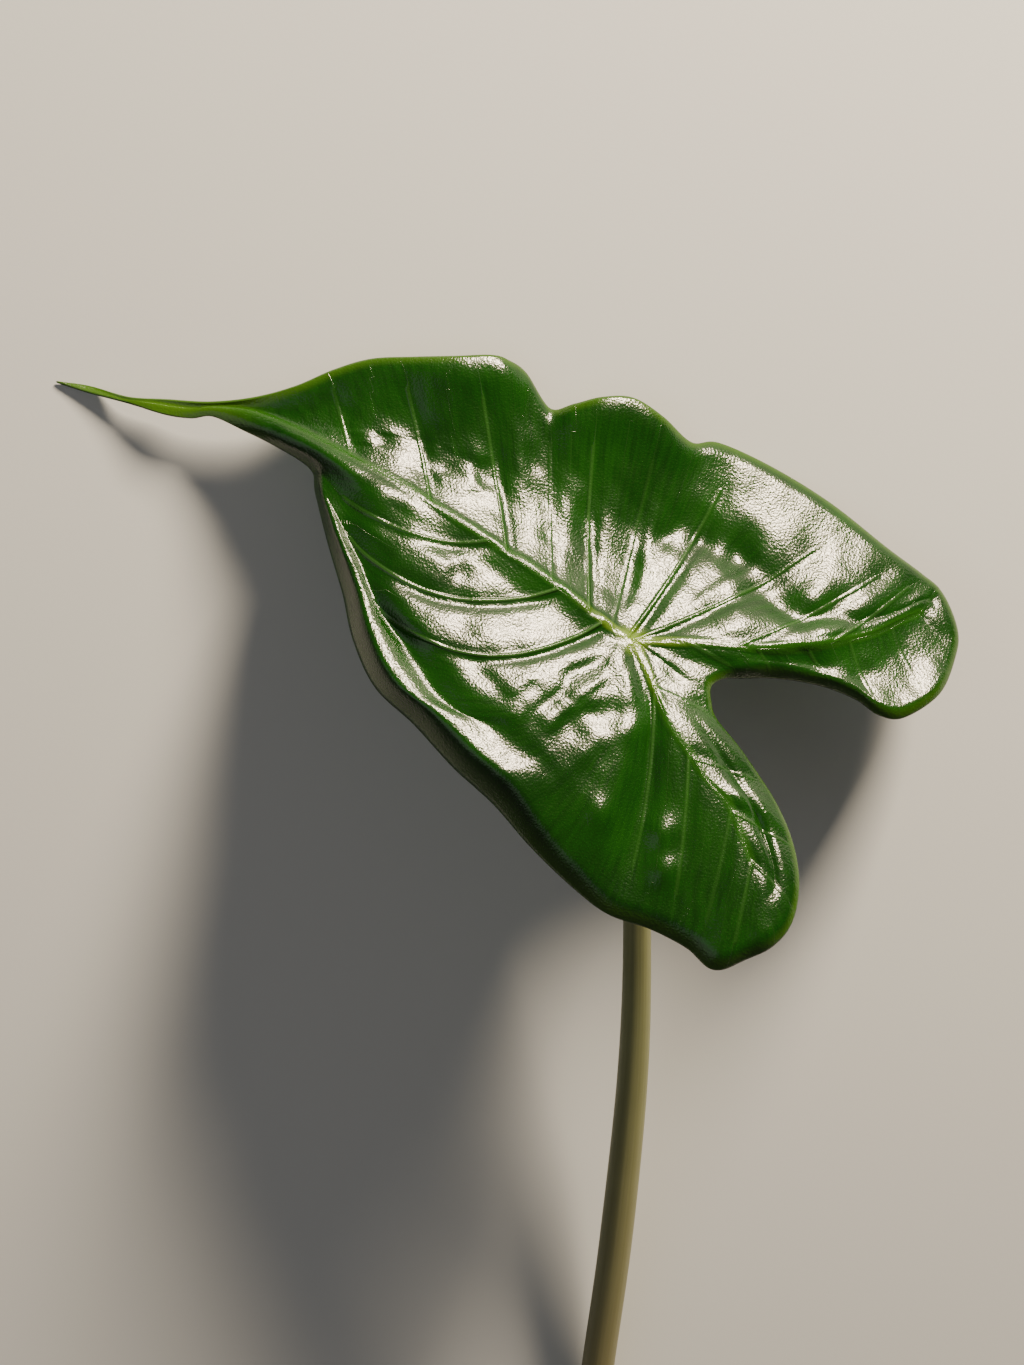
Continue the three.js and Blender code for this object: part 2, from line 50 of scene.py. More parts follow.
leafToFloor = turn("Z", lies["heading"]) @ turn("Y", lies["pitch"]) @ turn("X", lies["lean"])


def layDown(points):
    # leaf millimetres to metres on the surface
    return (points @ leafToFloor.T + lies["shift"]) / 1000


def throughPoints(points, u):
    # Catmull-Rom curve through the points, u counting them, ends mirrored
    p = np.asarray(points, float)
    p = np.vstack([2 * p[0] - p[1], p, 2 * p[-1] - p[-2]])
    u = np.clip(u, 0, len(points) - 1)
    i = np.minimum(u.astype(int), len(points) - 2)
    f = (u - i)[..., None]
    a, b, c, d = p[i], p[i + 1], p[i + 2], p[i + 3]
    return b + 0.5 * f * (c - a + f * (2 * a - 5 * b + 4 * c - d + f * (3 * (b - c) + d - a)))


def throughValues(xs, ys, x):
    # smooth curve through values that never overshoots them: cubic pieces, harmonic mean slopes
    xs = np.asarray(xs, float)
    ys = np.asarray(ys, float)
    h = np.diff(xs)
    slope = np.diff(ys) / h
    before = 2 * h[1:] + h[:-1]
    after = h[1:] + 2 * h[:-1]
    rising = slope[:-1] * slope[1:] > 0
    safeA = np.where(rising, slope[:-1], 1)
    safeB = np.where(rising, slope[1:], 1)
    inner = np.where(rising, (before + after) / (before / safeA + after / safeB), 0)
    m = np.concatenate([slope[:1], inner, slope[-1:]])
    i = np.clip(np.searchsorted(xs, x, side="right") - 1, 0, len(h) - 1)
    t = np.clip((x - xs[i]) / h[i], 0, 1)
    return (ys[i] * (1 + 2 * t) * (1 - t) ** 2 + m[i] * h[i] * t * (1 - t) ** 2
            + ys[i + 1] * t * t * (3 - 2 * t) + m[i + 1] * h[i] * t * t * (t - 1))


def newPiece(name, points, faces, material):
    # a smooth shaded mesh with its place in its points and its object at the origin
    mesh = bpy.data.meshes.new(name)
    mesh.from_pydata(points, [], faces)
    mesh.materials.append(material)
    mesh.polygons.foreach_set("use_smooth", np.ones(len(mesh.polygons), bool))
    mesh.update()
    piece = bpy.data.objects.new(name, mesh)
    bpy.context.scene.collection.objects.link(piece)
    return piece


def addAttribute(piece, name, values):
    # one number for each point, which the material reads
    attribute = piece.data.attributes.new(name, "FLOAT", "POINT")
    attribute.data.foreach_set("value", np.asarray(values, np.float32))


class Wire:
    # a node's output that takes part in sums; one with no output only adds nodes to its tree
    def __init__(self, tree, socket=None):
        self.tree = tree
        self.socket = socket

    def node(self, kind, settings=None, sockets=None, out=0):
        made = self.tree.nodes.new(kind)
        for key, value in (settings or {}).items():
            setattr(made, key, value)
        for key, value in (sockets or {}).items():
            if isinstance(value, Wire):
                self.tree.links.new(value.socket, made.inputs[key])
            else:
                made.inputs[key].default_value = value
        return Wire(self.tree, made.outputs[out])

    def sum(self, operation, *others):
        sockets = dict(enumerate((self, *others)))
        return self.node("ShaderNodeMath", {"operation": operation}, sockets)

    def __add__(self, other):
        return self.sum("ADD", other)

    def __radd__(self, other):
        return self.sum("ADD", other)

    def __sub__(self, other):
        return self.sum("SUBTRACT", other)

    def __rsub__(self, other):
        return self.sum("MULTIPLY", -1.0).sum("ADD", other)

    def __mul__(self, other):
        return self.sum("MULTIPLY", other)

    def __rmul__(self, other):
        return self.sum("MULTIPLY", other)

    def step(self, low, high, atLow=0.0, atHigh=1.0):
        # eases from atLow to atHigh as the value goes from low to high
        return self.node("ShaderNodeMapRange", {"interpolation_type": "SMOOTHSTEP"}, {
            "Value": self, "From Min": low, "From Max": high, "To Min": atLow, "To Max": atHigh})

    def blend(self, first, second):
        # from the first colour to the second as this mask goes from 0 to 1
        return self.node("ShaderNodeMix", {"data_type": "RGBA"}, {0: self, 6: first, 7: second}, out=2)

    def mark(self, name):
        # what a piece's points carry under that name
        return self.node("ShaderNodeAttribute", {"attribute_name": name}, out="Fac")

    def noise(self, place, scale, detail):
        return self.node("ShaderNodeTexNoise", {}, {"Vector": place, "Scale": scale, "Detail": detail})

    def relief(self, bumps, strength, height):
        # the normal of a surface raised by the bumps, the height in metres
        return self.node("ShaderNodeBump", {}, {
            "Strength": strength, "Distance": height, "Height": bumps}, out="Normal")


def newMaterial(name):
    # an empty material and a wire that adds nodes to it
    material = bpy.data.materials.new(name)
    material.use_nodes = True
    material.node_tree.nodes.clear()
    return material, Wire(material.node_tree)


def finishMaterial(material, shader):
    output = material.node_tree.nodes.new("ShaderNodeOutputMaterial")
    material.node_tree.links.new(shader.socket, output.inputs["Surface"])


# Blade. margin: from the tip back along the near side, round the near lobe, the sinus and the far
# lobe, and forward along the far side to the tip. ribs: centre line, height of the cord above,
# depth of the keel below and half width, at the hub and at the end. sections: edge (place on the
# margin), rib, root (distance from the hub), bow, steep, belly, gutter, gutterAt, roll, lip, vein.
blade = {
    "margin": [
        (139.5, 10.5, -12), (132.5, 9, -11.5), (123.5, 7, -10), (115, 5.5, -8.5), (109.5, 3.5, -7.5),
        (105.5, 1.5, -5.5), (98.5, 1, -4.8), (90, 0.5, -4.3), (80.5, 0.8, -4.8),
        (76.5, 5, -6), (68, 13.5, -8), (60, 21, -9.5), (52.5, 29.5, -10), (43, 36.5, -10.5),
        (31.5, 39.5, -10.5), (19, 43.5, -11), (8, 45.5, -12), (-4, 49, -14), (-16, 51.5, -15.5),
        (-25.5, 52.5, -16), (-35, 50.5, -16), (-44, 50, -16), (-51, 51.5, -15.5), (-55.5, 47, -14),
        (-60.5, 38.5, -10),
        (-59, 29.5, -8), (-53.5, 21, -7), (-45.5, 14, -6.5), (-34.5, 8.5, -5), (-25, 5, -3.5),
        (-21.5, 2, -2.5), (-20, -1, -2), (-21.5, -4.5, -2.5), (-25, -8, -4),
        (-30.5, -12, -4.5), (-37, -15.5, -5), (-43.5, -18, -5.5), (-50, -19, -5.5), (-56, -18.5, -5.5),
        (-61, -21, -5.5), (-65.5, -30.5, -5), (-65, -41, -5.5), (-62.5, -47.5, -5), (-55.5, -53, -3.5),
        (-49, -54, -2.5), (-39.5, -54, -0.5), (-23, -55.5, 1.5), (-7.5, -55, 3), (5.5, -52.5, 4.5),
        (11, -48, 6), (19.5, -47, 11), (27, -46, 13), (33, -42, 13), (37.5, -38.5, 10.5), (42, -36, 7.5),
        (50.5, -39, 10.5), (55, -38, 13), (58.5, -36.5, 14), (65, -32, 13.5), (73, -27.5, 11.5),
        (81, -23, 9), (87, -17.5, 6),
        (92.5, -11, 2.5), (99, -5.5, -1), (107.5, -0.5, -4.5), (116.5, 3, -7.5), (124, 6, -9.5),
        (132.5, 7.5, -11.5), (139.5, 10.5, -12)],
    "ribs": {
        "mid": {"line": [
            (0, 0, 0), (3.7, 0.3, 0.3), (15.2, -0.6, 1.6), (27.4, -1.4, 2.6), (40.4, -1.7, 3.2),
            (53.5, -2.3, 3.5), (66.3, -2.6, 3), (78.9, -2.8, 1.7), (89.1, -3, -0.2), (98.6, -2.5, -2.6),
            (106, 0, -4.8), (111, 2.5, -7), (120, 5.4, -9), (124, 6.5, -10), (132, 8, -11.5),
            (139.5, 10.5, -12)],
            "cord": (0.55, 0), "keel": (2.6, 0), "halfWidth": (2.1, 0.8)},
        "near": {"line": [
            (0, 0, 0), (-5.5, 4, 0), (-15, 12, -0.5), (-21.5, 15.5, -1), (-27.5, 18.5, -2), (-32, 20, -2.5),
            (-35.5, 21, -3), (-41, 25, -4), (-46.5, 29.5, -5.5)],
            "cord": (0.4, 0.1), "keel": (2.0, 0.4), "halfWidth": (1.9, 0.8)},
        "far": {"line": [
            (0, 0, 0), (-3.5, -2, 0), (-13.5, -7.5, 1), (-25.5, -14.5, 1), (-33, -20, 1), (-38.5, -25, 0.5),
            (-45.5, -33, -1), (-51, -42, -2), (-53, -45, -2.5)],
            "cord": (0.4, 0.1), "keel": (2.0, 0.4), "halfWidth": (1.9, 0.8)}},
    "sections": [
        (0, "mid", "end", 0, 1.2, 0, 0, 0.7, 0, 2, 0),
        (1, "mid", 137, 0, 1.2, 0, 0, 0.7, 0, 2, 0),
        (2, "mid", 127.6, 0, 1.2, 0, 0, 0.7, 0, 2, 0),
        (3, "mid", 118.6, 0, 1.2, 0.1, 0, 0.7, 0, 2, 0),
        (5, "mid", 107, 0, 1.2, 0.3, 0, 0.7, 0.4, 2, 0),
        (6.4, "mid", 90, 0.04, 1.5, 0.5, 0, 0.7, 1.5, 2, 0),
        (7.3, "mid", 72, 0.12, 2.3, 0.7, 0.2, 0.7, 2.2, 2, 0),
        (7.85, "mid", 55, 0.2, 2.7, 0.9, 0.5, 0.74, 2.8, 2, 0),
        (8.3, "mid", 38, 0.34, 2.3, 0.5, 0.8, 0.78, 3.2, 2, 0.6),
        (8.85, "mid", 19.5, 0.5, 1.5, 0, 1.4, 0.77, 4.0, 2.4, 1),
        (10.3, "mid", 8, 0.57, 1.4, 0.4, 2.6, 0.77, 7, 2.9, 1),
        (13.2, "mid", 1.5, 0.48, 1.3, 0.3, 1.6, 0.75, 7.8, 3.1, 0),
        (15.6, "near", 0, 0.3, 1.6, 0, 1.0, 0.78, 8, 3.2, 0),
        (17.6, "near", 0, 0.14, 2.6, 0.2, 0, 0.78, 3.5, 3, 0),
        (19.2, "near", 12, 0.08, 1.1, 0, 0, 0.7, 2.5, 3, 0.5),
        (20.4, "near", 28, 0.04, 1.1, 0.2, 0, 0.6, 2.5, 3, 0.5),
        (21.3, "near", 44, 0.02, 1.1, 0.3, 0, 0.5, 2.5, 3, 0.3),
        (22.5, "near", "end", 0, 1.3, 0.3, 0, 0.5, 2.5, 3, 0.4),
        (24.6, "near", "end", 0, 1.5, 0.2, 0.4, 0.5, 0.8, 3, 0.3),
        (26, "near", 45, 0, 1.5, 0, 1.2, 0.48, 0.5, 2, 0.4),
        (27.4, "near", 30, 0, 1.5, 0, 0.8, 0.5, 1, 2, 0.3),
        (29, "near", 12, 0, 1.4, 0.2, 0, 0.5, 1.2, 2, 0.3),
        (30.2, "near", 0, 0, 1.2, 0, 0, 0.5, 1.2, 2, 0),
        (31.6, "far", 0, 0, 1.2, 0, 0, 0.5, 1.4, 2, 0),
        (32.8, "far", 12, 0, 1.5, 0.6, 0, 0.5, 2.5, 2.4, 0.3),
        (34, "far", 28, 0, 0.9, -0.8, 0, 0.5, 3.5, 2.6, 0.3),
        (36, "far", 40, 0, 0.5, -1.4, 0, 0.5, 3.6, 2.4, 0.3),
        (37.8, "far", 51, 0, 0.5, -1.2, 0, 0.5, 2.6, 2.2, 0.3),
        (39.6, "far", 62, 0, 0.6, -1.0, 0, 0.5, 1.8, 2, 0.2),
        (40.9, "far", "end", 0, 0.8, -0.4, 0, 0.5, 1, 2, 0),
        (43.2, "far", "end", 0, 1.0, 0.2, 0.2, 0.5, 1, 2, 0.3),
        (43.9, "far", 47, 0.04, 1.2, 0.2, 0.5, 0.34, 1.2, 2.5, 0.5),
        (44.6, "far", 24, 0.06, 1.3, 0.5, 1.1, 0.38, 1.4, 3, 0.5),
        (45.6, "far", 0, 0.08, 1.3, 0, 1.8, 0.55, 1.5, 3.5, 0.7),
        (47.6, "mid", 1.5, 0.06, 1.5, -1.5, 1.6, 0.58, 1.5, 4, 0.9),
        (50, "mid", 6, 0.04, 2.4, -2.2, 0.6, 0.55, 2, 5, 0.3),
        (52.2, "mid", 12, 0.02, 2.6, -2, 0, 0.6, 2.5, 6, 0.9),
        (54, "mid", 22, 0.02, 2.1, -1.3, 0, 0.6, 2, 5, 0.3),
        (57.6, "mid", 34, 0.08, 2.2, -1.6, 0, 0.6, 2.5, 6, 0.7),
        (59.4, "mid", 54, 0.1, 2.2, -1.5, 0, 0.6, 2, 5, 0.6),
        (61.2, "mid", 74, 0.08, 1.9, -1, 0, 0.6, 1, 4, 0.4),
        (62.6, "mid", 93, 0.03, 1.4, -1, 0, 0.6, 0.4, 2, 0),
        (64.2, "mid", 112, 0, 1.2, -0.3, 0, 0.6, 0, 2, 0),
        (65, "mid", 120, 0, 1.2, -0.1, 0, 0.6, 0, 2, 0),
        (66, "mid", 128.6, 0, 1.2, 0, 0, 0.6, 0, 2, 0),
        (67, "mid", 137, 0, 1.2, 0, 0, 0.6, 0, 2, 0),
        (68, "mid", "end", 0, 1.2, 0, 0, 0.6, 0, 2, 0)],
    "nearLobeTip": 23.5, "sinus": 31, "farLobeTip": 42,
    # stretches of the margin whose rows fan out from one point: the hub or the end of a rib
    "fans": {"nearHub": (15.6, 17.6), "nearEnd": (22.5, 24.6), "sinus": (30.2, 31.6),
             "farEnd": (40.9, 43.2)},
    "farHub": 45.6,
    "gutterWidth": 0.11, "thickness": 0.8, "rimRound": 0.3, "tipWay": (1, 0.3, 0), "hubCalm": 9,
    # the thick seat of the petiole, and how far and how steeply it rises outwards
    "padRadius": 3.4, "padFoot": 6.6, "padDepth": -4.0, "padRise": 1.2, "padPower": 1.5,
    # rows and columns: how close, and how the columns crowd at the rib and at the lip
    "rowSpacing": 0.9, "ribColumns": 6, "openColumns": 43, "lipColumns": 8,
    "ribSpan": 3.4, "crowdMost": 0.3, "lipSpread": 1.15, "lipPower": 1.3,
    # side veins: height or depth and half width of cord and keel at the rib, half widths at the end;
    # depth, width and shift of the groove; where the vein ends on its row, what is left of it there,
    # and how far round the margin it reaches
    "veinCord": (0.34, 0.8), "veinKeel": (0.9, 1.5), "cordEndHalf": 0.5, "keelEndHalf": 0.8,
    "veinGroove": (0.5, 1.2, 1.3), "veinEnd": 0.8, "veinEndShare": 0.1, "veinFade": 0.6,
    "veinReach": 2.5,
    # swell between the veins, and ripples, which begin away from the ribs; both fade at the rib and
    # at the margin; calmLobe: how much calmer, and where that sets in backwards and outwards
    "swellShare": 0.035, "swellMost": 0.6, "fadePowers": (0.8, 0.7),
    "ripple": 0.14, "rippleStart": 6, "waves": 14, "waveLength": (5, 16), "seed": 7,
    "calmLobe": (0.7, (-4, 10), (14, 6)),
    # marks for the material: distance from the margin on a rib, and share of underside at the rim
    "ribEdgeAway": 50.0, "rimUnder": 0.3,
    # small folds between the veins, each a soft step down to the left of its way: height, width and
    # way; foldReach is how far to the side they last
    "foldReach": 8,
    "folds": [
        (0.62, 1.6, [(2, 5), (5, 9), (9, 15), (8.5, 19), (10, 24), (12.5, 30.5)]),
        (0.35, 1.2, [(14, 20), (15, 24), (16.5, 28)]),
        (0.35, 1.2, [(-0.5, 10.5), (2.5, 17), (3.5, 21)]),
        (0.62, 1.7, [(-4, 14.5), (1.5, 20.5), (4, 23.5), (5, 27.5), (6.5, 32)]),
        (0.5, 1.4, [(0.5, 1), (-1, 4), (-3, 6.5), (-6, 10), (-9, 13)]),
        (0.3, 1.4, [(52, 9.5), (46, 7.5), (41.5, 6.5)]),
        (0.4, 1.4, [(72, -11), (70.5, -7.5)]),
        (0.4, 1.4, [(58, -16), (56, -9)]),
        (0.4, 1.4, [(50.5, -16), (45, -11.5)]),
        (0.45, 1.5, [(4, -5), (5, -12), (9, -23), (12, -31.5)]),
        (0.4, 1.4, [(-6.5, -12.5), (-9, -20.5), (-12, -27), (-16.5, -33.5)]),
        (0.35, 1.5, [(-12, -14.5), (-16, -21)])],
    # a low ridge across the near lobe
    "ridges": [(0.45, 2.6, [(-15, 12), (-8, 21), (-3.3, 29), (-1.5, 41)])],
    # shallow hollows, or bumps where the depth is negative: depth, radius and place
    "hollows": [
        (0.9, 4, (-11.5, -33)), (0.6, 2.8, (-3.5, -31.5)), (0.8, 3.2, (-25, -26.5)),
        (0.6, 3, (-32, -25.5)), (0.6, 3.5, (-38.5, -33.5)), (0.4, 2.2, (39.5, 8.5)),
        (-1, 3.1, (-12.5, 38)), (-1.25, 3.3, (-26.5, 33.5)), (-1.3, 3.6, (-31.5, 40)),
        (-0.8, 3, (-57, 41.5)), (-0.6, 3, (-38, 18))],
    # the blade drops away beside the midrib on the near side: depth, width and how far out it lasts;
    # shoulderRun: where it sets in and ends along the midrib, and over what length
    "shoulder": (1.7, 6.4, 16), "shoulderRun": ((2, 8), (62, 20))}
farOff = 99.0  # further than anything on the leaf is from anything else that counts

# each rib as an even run of points with its distance from the hub
ribs = {}
for name, rib in blade["ribs"].items():
    line = np.array(rib["line"], float)
    reach = np.concatenate([[0], np.cumsum(np.linalg.norm(np.diff(line, axis=0), axis=1))])
    ribs[name] = {**rib, "line": line, "reach": reach, "length": reach[-1]}


def ribPoint(name, distance):
    # the point of a rib's smooth line at that distance from the hub
    rib = ribs[name]
    return throughPoints(rib["line"], np.interp(distance, rib["reach"], np.arange(len(rib["reach"]))))


sections = [list(s) for s in blade["sections"]]
for section in sections:
    if section[2] == "end":
        section[2] = ribs[section[1]]["length"]
edges = np.array([s[0] for s in sections], float)
nearLength = ribs["near"]["length"]
farLength = ribs["far"]["length"]


def wayOf(edge, rib, root):
    # the way round the skeleton: down the midrib, out and back along the near rib and the far rib,
    # and up the midrib, always growing with the edge
    if rib == "mid":
        return -root if edge < blade["sinus"] else 2 * nearLength + 2 * farLength + root
    if rib == "near":
        return root if edge < blade["nearLobeTip"] else 2 * nearLength - root
    return 2 * nearLength + (root if edge < blade["farLobeTip"] else 2 * farLength - root)


ways = np.array([wayOf(*s[:3]) for s in sections])
denseEdge = np.linspace(0, edges[-1], 40001)
denseWay = throughValues(edges, ways, denseEdge)
denseMargin = throughPoints(blade["margin"], denseEdge)
marginReach = np.concatenate([[0], np.cumsum(np.linalg.norm(np.diff(denseMargin, axis=0), axis=1))])


def edgeFor(way, low, high):
    # the place on the margin, between low and high, that goes with a way round the skeleton
    inside = (denseEdge >= low) & (denseEdge <= high)
    return np.interp(way, denseWay[inside], denseEdge[inside])


def pairedRoots(name, sideA, sideB, zeroA, signA, zeroB, signB):
    # roots shared by the two sides of a rib, as close as the side with the closer rows needs
    root = np.linspace(0, ribs[name]["length"], 6001)
    edgeA = edgeFor(zeroA + signA * root, *sideA)
    edgeB = edgeFor(zeroB + signB * root, *sideB)
    reachA = np.interp(edgeA, denseEdge, marginReach)
    reachB = np.interp(edgeB, denseEdge, marginReach)
    need = np.maximum(np.abs(np.gradient(reachA, root)), np.abs(np.gradient(reachB, root)))
    need = np.maximum(need, 0.5) / blade["rowSpacing"]
    total = np.concatenate([[0], np.cumsum((need[1:] + need[:-1]) / 2 * np.diff(root))])
    count = int(total[-1])
    kept = np.interp(np.arange(1, count) * total[-1] / count, total, root)
    return kept, np.interp(kept, root, edgeA), np.interp(kept, root, edgeB)


def fanEdges(low, high):
    # places on the margin, evenly along it, whose rows start from one point
    a, b = np.interp([low, high], denseEdge, marginReach)
    count = max(2, int((b - a) / blade["rowSpacing"]) + 1)
    return np.interp(np.linspace(a, b, count), marginReach, denseEdge)


def bladeRows():
    # rows in order round the margin: edge, root point and the number of that shared point
    fans = blade["fans"]
    full = 2 * nearLength + 2 * farLength
    last = edges[-1]
    mid = pairedRoots("mid", (0, fans["nearHub"][0]), (blade["farHub"], last), 0, -1, full, 1)
    near = pairedRoots("near", (fans["nearHub"][1], fans["nearEnd"][0]),
                       (fans["nearEnd"][1], fans["sinus"][0]), 0, 1, 2 * nearLength, -1)
    far = pairedRoots("far", (fans["sinus"][1], fans["farEnd"][0]),
                      (fans["farEnd"][1], blade["farHub"]), 2 * nearLength, 1, full, -1)
    hub = ribPoint("mid", np.array([0.0]))
    tip = ribPoint("mid", np.array([ribs["mid"]["length"]]))
    nearEnd = ribPoint("near", np.array([nearLength]))
    farEnd = ribPoint("far", np.array([farLength]))
    shared = np.vstack([hub, tip, nearEnd, farEnd, ribPoint("mid", mid[0]), ribPoint("near", near[0]),
                        ribPoint("far", far[0])])
    midKeys = 4 + np.arange(len(mid[0]))
    nearKeys = midKeys[-1] + 1 + np.arange(len(near[0]))
    farKeys = nearKeys[-1] + 1 + np.arange(len(far[0]))
    parts = [(np.array([0.0]), np.array([1])), (mid[1][::-1], midKeys[::-1])]
    for name, key in (("nearHub", 0), ("nearEnd", 2), ("sinus", 0), ("farEnd", 3)):
        fan = fanEdges(*fans[name])
        parts.append((fan, np.full(len(fan), key)))
        if name == "nearHub":
            parts.append((near[1], nearKeys))
        if name == "nearEnd":
            parts.append((near[2][::-1], nearKeys[::-1]))
        if name == "sinus":
            parts.append((far[1], farKeys))
        if name == "farEnd":
            parts.append((far[2][::-1], farKeys[::-1]))
    parts.append((np.array([blade["farHub"]]), np.array([0])))
    parts.append((mid[2], midKeys))
    return np.concatenate([p[0] for p in parts]), np.concatenate([p[1] for p in parts]), shared


def tableAt(column, u):
    # a column of the sections, smoothly between them
    return throughValues(edges, [s[column] for s in sections], u)[:, None]


def rowsAt(u, roots):
    # rows from the roots to places u on the margin, with what shapes each
    rows = {"root": roots, "edge": throughPoints(blade["margin"], u)}
    for column, name in enumerate(("bow", "steep", "belly", "gutter", "gutterAt", "roll", "lip"), 3):
        rows[name] = tableAt(column, u)
    rows["chord"] = rows["edge"][:, :2] - roots[:, :2]
    rows["length"] = np.maximum(np.linalg.norm(rows["chord"], axis=1), 1e-6)[:, None]
    back = np.where(u < blade["sinus"], -1, 1)
    rows["side"] = np.stack([rows["chord"][:, 1] * back, -rows["chord"][:, 0] * back], axis=1)
    return rows


def rowPoints(rows, t):
    # out along the chord with a bow of 2 bow t (1 - t) to the side; up by
    # (edge + roll - root) t^steep + belly sin(pi t) - gutter bell - roll lip^2
    plan = (rows["root"][:, None, :2] + rows["chord"][:, None] * t[..., None]
            + rows["side"][:, None] * (2 * rows["bow"] * t * (1 - t))[..., None])
    lip = np.clip(1 - (1 - t) * rows["length"] / np.maximum(rows["lip"], 0.1), 0, 1)
    bell = np.exp(-((t - rows["gutterAt"]) / blade["gutterWidth"]) ** 2)
    bellEnd = np.exp(-((1 - rows["gutterAt"]) / blade["gutterWidth"]) ** 2) * t ** 6
    rootZ = rows["root"][:, 2:]
    edgeZ = rows["edge"][:, 2:]
    z = (rootZ + (edgeZ + rows["roll"] - rootZ) * t ** rows["steep"] + rows["belly"] * np.sin(np.pi * t)
         - rows["gutter"] * (bell - bellEnd) - rows["roll"] * lip ** 2)
    return np.concatenate([plan, z[..., None]], axis=2)


def toLine(points, line):
    # distance in plan to a line of points, how far along that is, from 0 to 1, and the side, which
    # is 1 to the left of the line and -1 to its right
    best = np.full(len(points), 1e9)
    along = np.zeros(len(points))
    side = np.ones(len(points))
    for k in range(len(line) - 1):
        step = line[k + 1, :2] - line[k, :2]
        away = points[:, :2] - line[k, :2]
        f = np.clip(away @ step / (step @ step + 1e-12), 0, 1)
        distance = np.linalg.norm(away - f[:, None] * step, axis=1)
        nearer = distance < best
        best = np.where(nearer, distance, best)
        along = np.where(nearer, (k + f) / (len(line) - 1), along)
        side = np.where(nearer, np.where(step[0] * away[:, 1] > step[1] * away[:, 0], 1, -1), side)
    return best, along, side


# side veins run along the sections that have a strength for one
veinSections = [s for s in sections if s[10] > 0]
veinU = np.array([s[0] for s in veinSections], float)
veinRows = rowsAt(veinU, np.vstack([ribPoint(s[1], np.array([float(s[2])])) for s in veinSections]))


def ridge(distance, along, heights, halfWidths):
    # height (1 - (distance / half width)^2)^2, both changing evenly from the start to the end
    width = halfWidths[0] + (halfWidths[1] - halfWidths[0]) * along
    height = heights[0] + (heights[1] - heights[0]) * along
    return height * np.clip(1 - (distance / width) ** 2, 0, 1) ** 2


def bladeSheet():
    # rows from the shared rib points out to the margin, joined by triangles; the columns crowd over
    # the rib and at the rolled lip
    rowU, keys, shared = bladeRows()
    rows = rowsAt(rowU, shared[keys])
    ribShare = np.minimum(blade["crowdMost"], blade["ribSpan"] / rows["length"])
    lipShare = np.minimum(blade["crowdMost"], rows["lip"] / rows["length"]) * blade["lipSpread"]
    evenly = np.arange(1, blade["openColumns"] + 1) / (blade["openColumns"] + 1)
    ribT = np.linspace(0, 1, blade["ribColumns"])[None] * ribShare
    openT = ribShare + (1 - ribShare - lipShare) * evenly[None]
    lipT = 1 - lipShare * np.linspace(1, 0, blade["lipColumns"])[None] ** blade["lipPower"]
    t = np.hstack([ribT, openT, lipT])
    rowCount, columnCount = t.shape
    points = np.vstack([shared, rowPoints(rows, t)[1:, 1:].reshape(-1, 3)])
    # numbers of the points: the shared rib points first, then the rest of every row, the first row
    # being the tip point alone
    ids = np.arange(-1, rowCount - 1)[:, None] * (columnCount - 1) + np.arange(columnCount - 1)
    ids += len(shared)
    ids[0] = 1
    ids = np.hstack([keys[:, None], ids])
    following = np.roll(ids, -1, axis=0)
    a, b = ids[:, :-1].ravel(), ids[:, 1:].ravel()
    d, c = following[:, :-1].ravel(), following[:, 1:].ravel()
    triangles = np.vstack([np.stack([a, b, c], 1), np.stack([a, c, d], 1)])
    distinct = (triangles != np.roll(triangles, 1, axis=1)).all(axis=1)
    u = np.concatenate([np.zeros(len(shared)), np.repeat(rowU[1:], columnCount - 1)])
    u[keys] = rowU
    outward = np.concatenate([np.zeros(len(shared)), t[1:, 1:].ravel()])
    edgeAway = ((1 - t[1:, 1:]) * rows["length"][1:]).ravel()
    edgeAway = np.concatenate([np.full(len(shared), blade["ribEdgeAway"]), edgeAway])
    return {"points": points, "triangles": triangles[distinct], "ids": ids, "u": u, "t": outward,
            "edgeAway": edgeAway}


def upNormals(points, triangles, fromHub):
    # sum of the facings of the triangles round each point, easing to straight up at the hub
    corners = points[triangles]
    facing = np.cross(corners[:, 1] - corners[:, 0], corners[:, 2] - corners[:, 0])
    normals = np.zeros_like(points)
    for corner in range(3):
        np.add.at(normals, triangles[:, corner], facing)
    normals /= np.linalg.norm(normals, axis=1)[:, None] + 1e-12
    calm = np.clip(1 - fromHub / blade["hubCalm"], 0, 1)[:, None]
    normals = normals * (1 - calm) + np.array([0, 0, 1.0]) * calm
    return normals / np.linalg.norm(normals, axis=1)[:, None]


def ribRelief(points):
    # cords of the ribs above, their keels below, and the distance from the nearest rib
    over = np.zeros(len(points))
    under = np.zeros(len(points))
    ribAway = np.full(len(points), farOff)
    for name, rib in ribs.items():
        line = ribPoint(name, np.linspace(0, rib["length"], 61))
        distance, along, _ = toLine(points, line)
        over = np.maximum(over, ridge(distance, along, rib["cord"], rib["halfWidth"]))
        under = np.maximum(under, ridge(distance, along, rib["keel"], rib["halfWidth"]))
        ribAway = np.minimum(ribAway, distance)
    return over, under, ribAway


